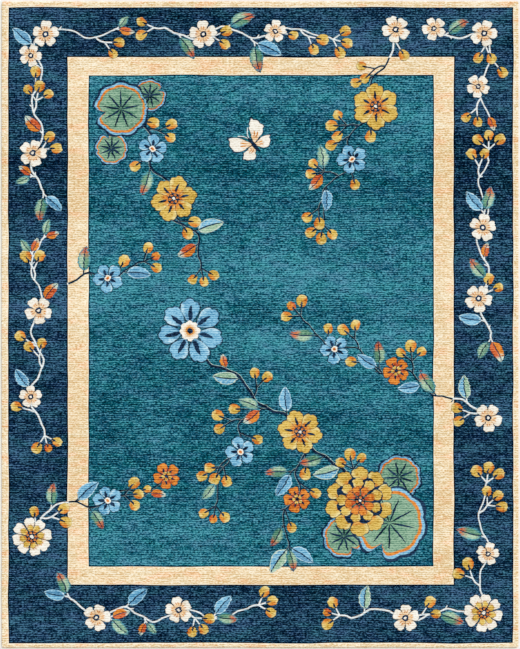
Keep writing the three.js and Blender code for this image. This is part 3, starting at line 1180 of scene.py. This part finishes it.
def plant_sprays():
    """Sets every stem, leaf, bud and flower of the design."""
    for k, (x, y, size, turn) in enumerate(PADS):
        pad(x, y, size, turn, PAD_STEP * (k % 3))
        taken.append(((x, y), size / 2))
    flower(CROWN_AT, "gold_crown", 0.3)
    butterfly(BUTTERFLY_AT, 2.3)
    taken.extend(spaces("gold_crown", CROWN_AT, 0) + spaces("gold_daisy", BUTTERFLY_AT, 0))
    lines = [crooked(smooth_line(spray["stem"])) for spray in SPRAYS]
    for spray, line in zip(SPRAYS, lines):
        width = spray.get("width", STEM_WIDTH)
        stem(line, width, width * 0.75)
        spurs(line, width)
        for at, kind in spray["flowers"]:
            spot, heading = place_on(line, at)
            flower(spot, kind, heading + draw.uniform(-STEM_FLOWER_SWING, STEM_FLOWER_SWING))
            taken.extend(spaces(kind, spot, 0))
    for spray, line in zip(SPRAYS, lines):
        if "end" in spray:
            grow(*place_on(line, 1.0), spray["end"], (0, 0.8, -0.8))
        if "start" in spray:
            spot, heading = place_on(line, 0.0)
            grow(spot, heading + math.pi, spray["start"], (0, 0.8, -0.8))
        growths = spray["grows"].split()
        for k, growth in enumerate(growths):
            if growth != "-":
                spot, heading = place_on(line, (k + 0.6) / (len(growths) + 0.4))
                grow(spot, heading, growth, (1, -1) if k % 2 == 0 else (-1, 1))


def motif_pieces():
    """Each motif as one piece of pile, all its copies joined."""
    shapes = {
        "heart": carved_shape("heart", 16, heart_petal, cushion),
        "lobed": carved_shape("lobed", 18, lobed_petal, cushion),
        "blade": carved_shape("blade", 24, blade, veined),
        "egg": carved_shape("egg", 14, egg, cushion),
        "disc": carved_shape("disc", 14, disc, cushion),
        "scallop": carved_shape("scallop", 64, scallop, cushion),
        "lily_pad": carved_shape("lily_pad", 80, lily_pad, ringed),
        "wing": carved_shape("wing", 24, wing, cushion),
        "sliver": carved_shape("sliver", 10, blade, cushion),
    }
    tree = motif_tree()
    pieces = []
    for motif, (shape, yarns, picks) in MOTIFS.items():
        group = places[motif]
        host = mesh_object(
            motif,
            group.spots,
            attributes=[
                ("turn", "FLOAT", "POINT", group.turns),
                ("reach", "FLOAT_VECTOR", "POINT", group.sizes),
                ("tone", "FLOAT", "POINT", group.tones),
            ],
        )
        values = {"Shape": shapes[shape], "Row pitch": ROW_PITCH * MM, "Row depth": MOTIF_ROW_DEPTH * MM}
        values |= {"Rag": RAG * MM, "Wool": wool(motif + "_wool", yarns, picks, tone=0.3)}
        pieces.append(grown(host, tree, values))
    for shape in shapes.values():
        bpy.data.objects.remove(shape)
    return pieces


def stem_pieces():
    """The stems of each wool as one piece."""
    materials = {
        "pale_stems": wool("bone_stem_wool", ("bone", "peach"), (("across", -0.5, -0.9, 0.5),)),
        # The ink stems turn pale along one side: a painted highlight
        "ink_stems": wool("ink_stem_wool", ("ink", "pale"), (("across", 0.5, 0.8, 0.3),)),
    }
    tree = stem_tree()
    pieces = []
    for name, lines in stems.items():
        points, edges, half_widths = [], [], []
        for line, widths in lines:
            first = len(points)
            points += [(x, y, GROUND_LEVEL - STEM_SINK) for x, y in line]
            half_widths += (widths / 2 * MM).tolist()
            edges += [(first + k, first + k + 1) for k in range(len(line) - 1)]
        widths_of = [("half_width", "FLOAT", "POINT", half_widths)]
        host = mesh_object(name, points, edges=edges, attributes=widths_of)
        values = {"Row pitch": ROW_PITCH * MM, "Row depth": ROW_DEPTH * MM, "Wool": materials[name]}
        pieces.append(grown(host, tree, values | {"Crest": (GROUND_LEVEL + STEM_RELIEF) * MM}))
    return pieces


# Weights of rows, streaks and tufts (the rows with painted shade in their troughs), and what sets the dark
# bands apart from the pale ones: painted shade on their carved line, and a painted highlight on the line
# round a pale band
GROUND_SHADE = (0.6, 2.3, 3.2)
BACKING_SHADE = (0.6, 0.4, 0.5)
DARK_BAND = {"abrash": 0.8, "carve": 1.1}
PALE_BAND = {"abrash": 0.6, "carve": -0.5}
DYE_LOTS = (("dye_lot", 0.48, 0.36, 0.15), ("dye_lot", 0.52, 0.64, 0.15))


def ground_wools():
    """The bands' own wools, from the guard stripe to the field, and the backing cloth below."""
    return (
        wool("guard_stripe_wool", ("butter", "cream", "blush"), DYE_LOTS, GROUND_SHADE, **PALE_BAND),
        wool("navy_border_wool", ("navy", "petrol", "indigo"), DYE_LOTS, GROUND_SHADE, **DARK_BAND),
        wool("cream_frame_wool", ("cream", "butter", "blush"), DYE_LOTS, GROUND_SHADE, **PALE_BAND),
        wool("teal_field_wool", ("teal", "lagoon", "slate"), DYE_LOTS, GROUND_SHADE, **DARK_BAND),
        # Plain woven backing, dull and straw-coloured, with little more than its threads to see
        wool("cotton_backing_cloth", ("jute",), shade=BACKING_SHADE),
    )


# The studio, in metres, with the strengths of its light
FLOOR_SIZE = 30.0
FLOOR_DROP = 0.0005
ROOM_LIGHT = 0.72
WINDOW_LIGHT = 1.55


def studio():
    """A pale floor, soft light from above and the camera straight over the rug."""
    half = FLOOR_SIZE / 2
    corners = [(-half, -half, 0), (half, -half, 0), (half, half, 0), (-half, half, 0)]
    floor_mesh = bpy.data.meshes.new("floor")
    floor_mesh.from_pydata(corners, [], [(0, 1, 2, 3)])
    floor = bpy.data.objects.new("floor", floor_mesh)
    floor.location.z = -FLOOR_DROP
    bpy.context.scene.collection.objects.link(floor)
    # Matt paint, a warm white that gives no glare
    paint = bpy.data.materials.new("pale_floor_paint")
    paint.use_nodes = True
    paint.node_tree.nodes["Principled BSDF"].inputs["Base Color"].default_value = linear("#f4f1ec")
    paint.node_tree.nodes["Principled BSDF"].inputs["Roughness"].default_value = 0.8
    floor_mesh.materials.append(paint)

    scene = bpy.context.scene
    scene.view_settings.view_transform = "Standard"
    world = bpy.data.worlds.new("soft_room")
    world.use_nodes = True
    world.node_tree.nodes["Background"].inputs["Color"].default_value = linear("#f7f9fb")
    world.node_tree.nodes["Background"].inputs["Strength"].default_value = ROOM_LIGHT
    scene.world = world
    lamp = bpy.data.lights.new("window", "SUN")
    lamp.energy = WINDOW_LIGHT
    lamp.angle = math.radians(30)
    window = bpy.data.objects.new("window", lamp)
    window.rotation_euler = (math.radians(-34), math.radians(30), 0)
    scene.collection.objects.link(window)

    # The rug is 646.7 pixels long in a picture 520 wide and 649 high
    picture_height = 649
    rug_pixels = 646.7
    camera_data = bpy.data.cameras.new("camera")
    camera_data.lens = 85
    camera_data.sensor_width = 36
    view_height = RUG_LENGTH * MM * picture_height / rug_pixels
    camera = bpy.data.objects.new("camera", camera_data)
    camera.location = (0, 0, view_height * camera_data.lens / camera_data.sensor_width + RUG_THICKNESS * MM)
    scene.collection.objects.link(camera)
    scene.camera = camera


plant_sprays()
ground = rug_ground(ground_wools())
details = motif_pieces() + stem_pieces()
for piece in [ground, *details]:
    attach(piece, "root")
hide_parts("rug")
studio()
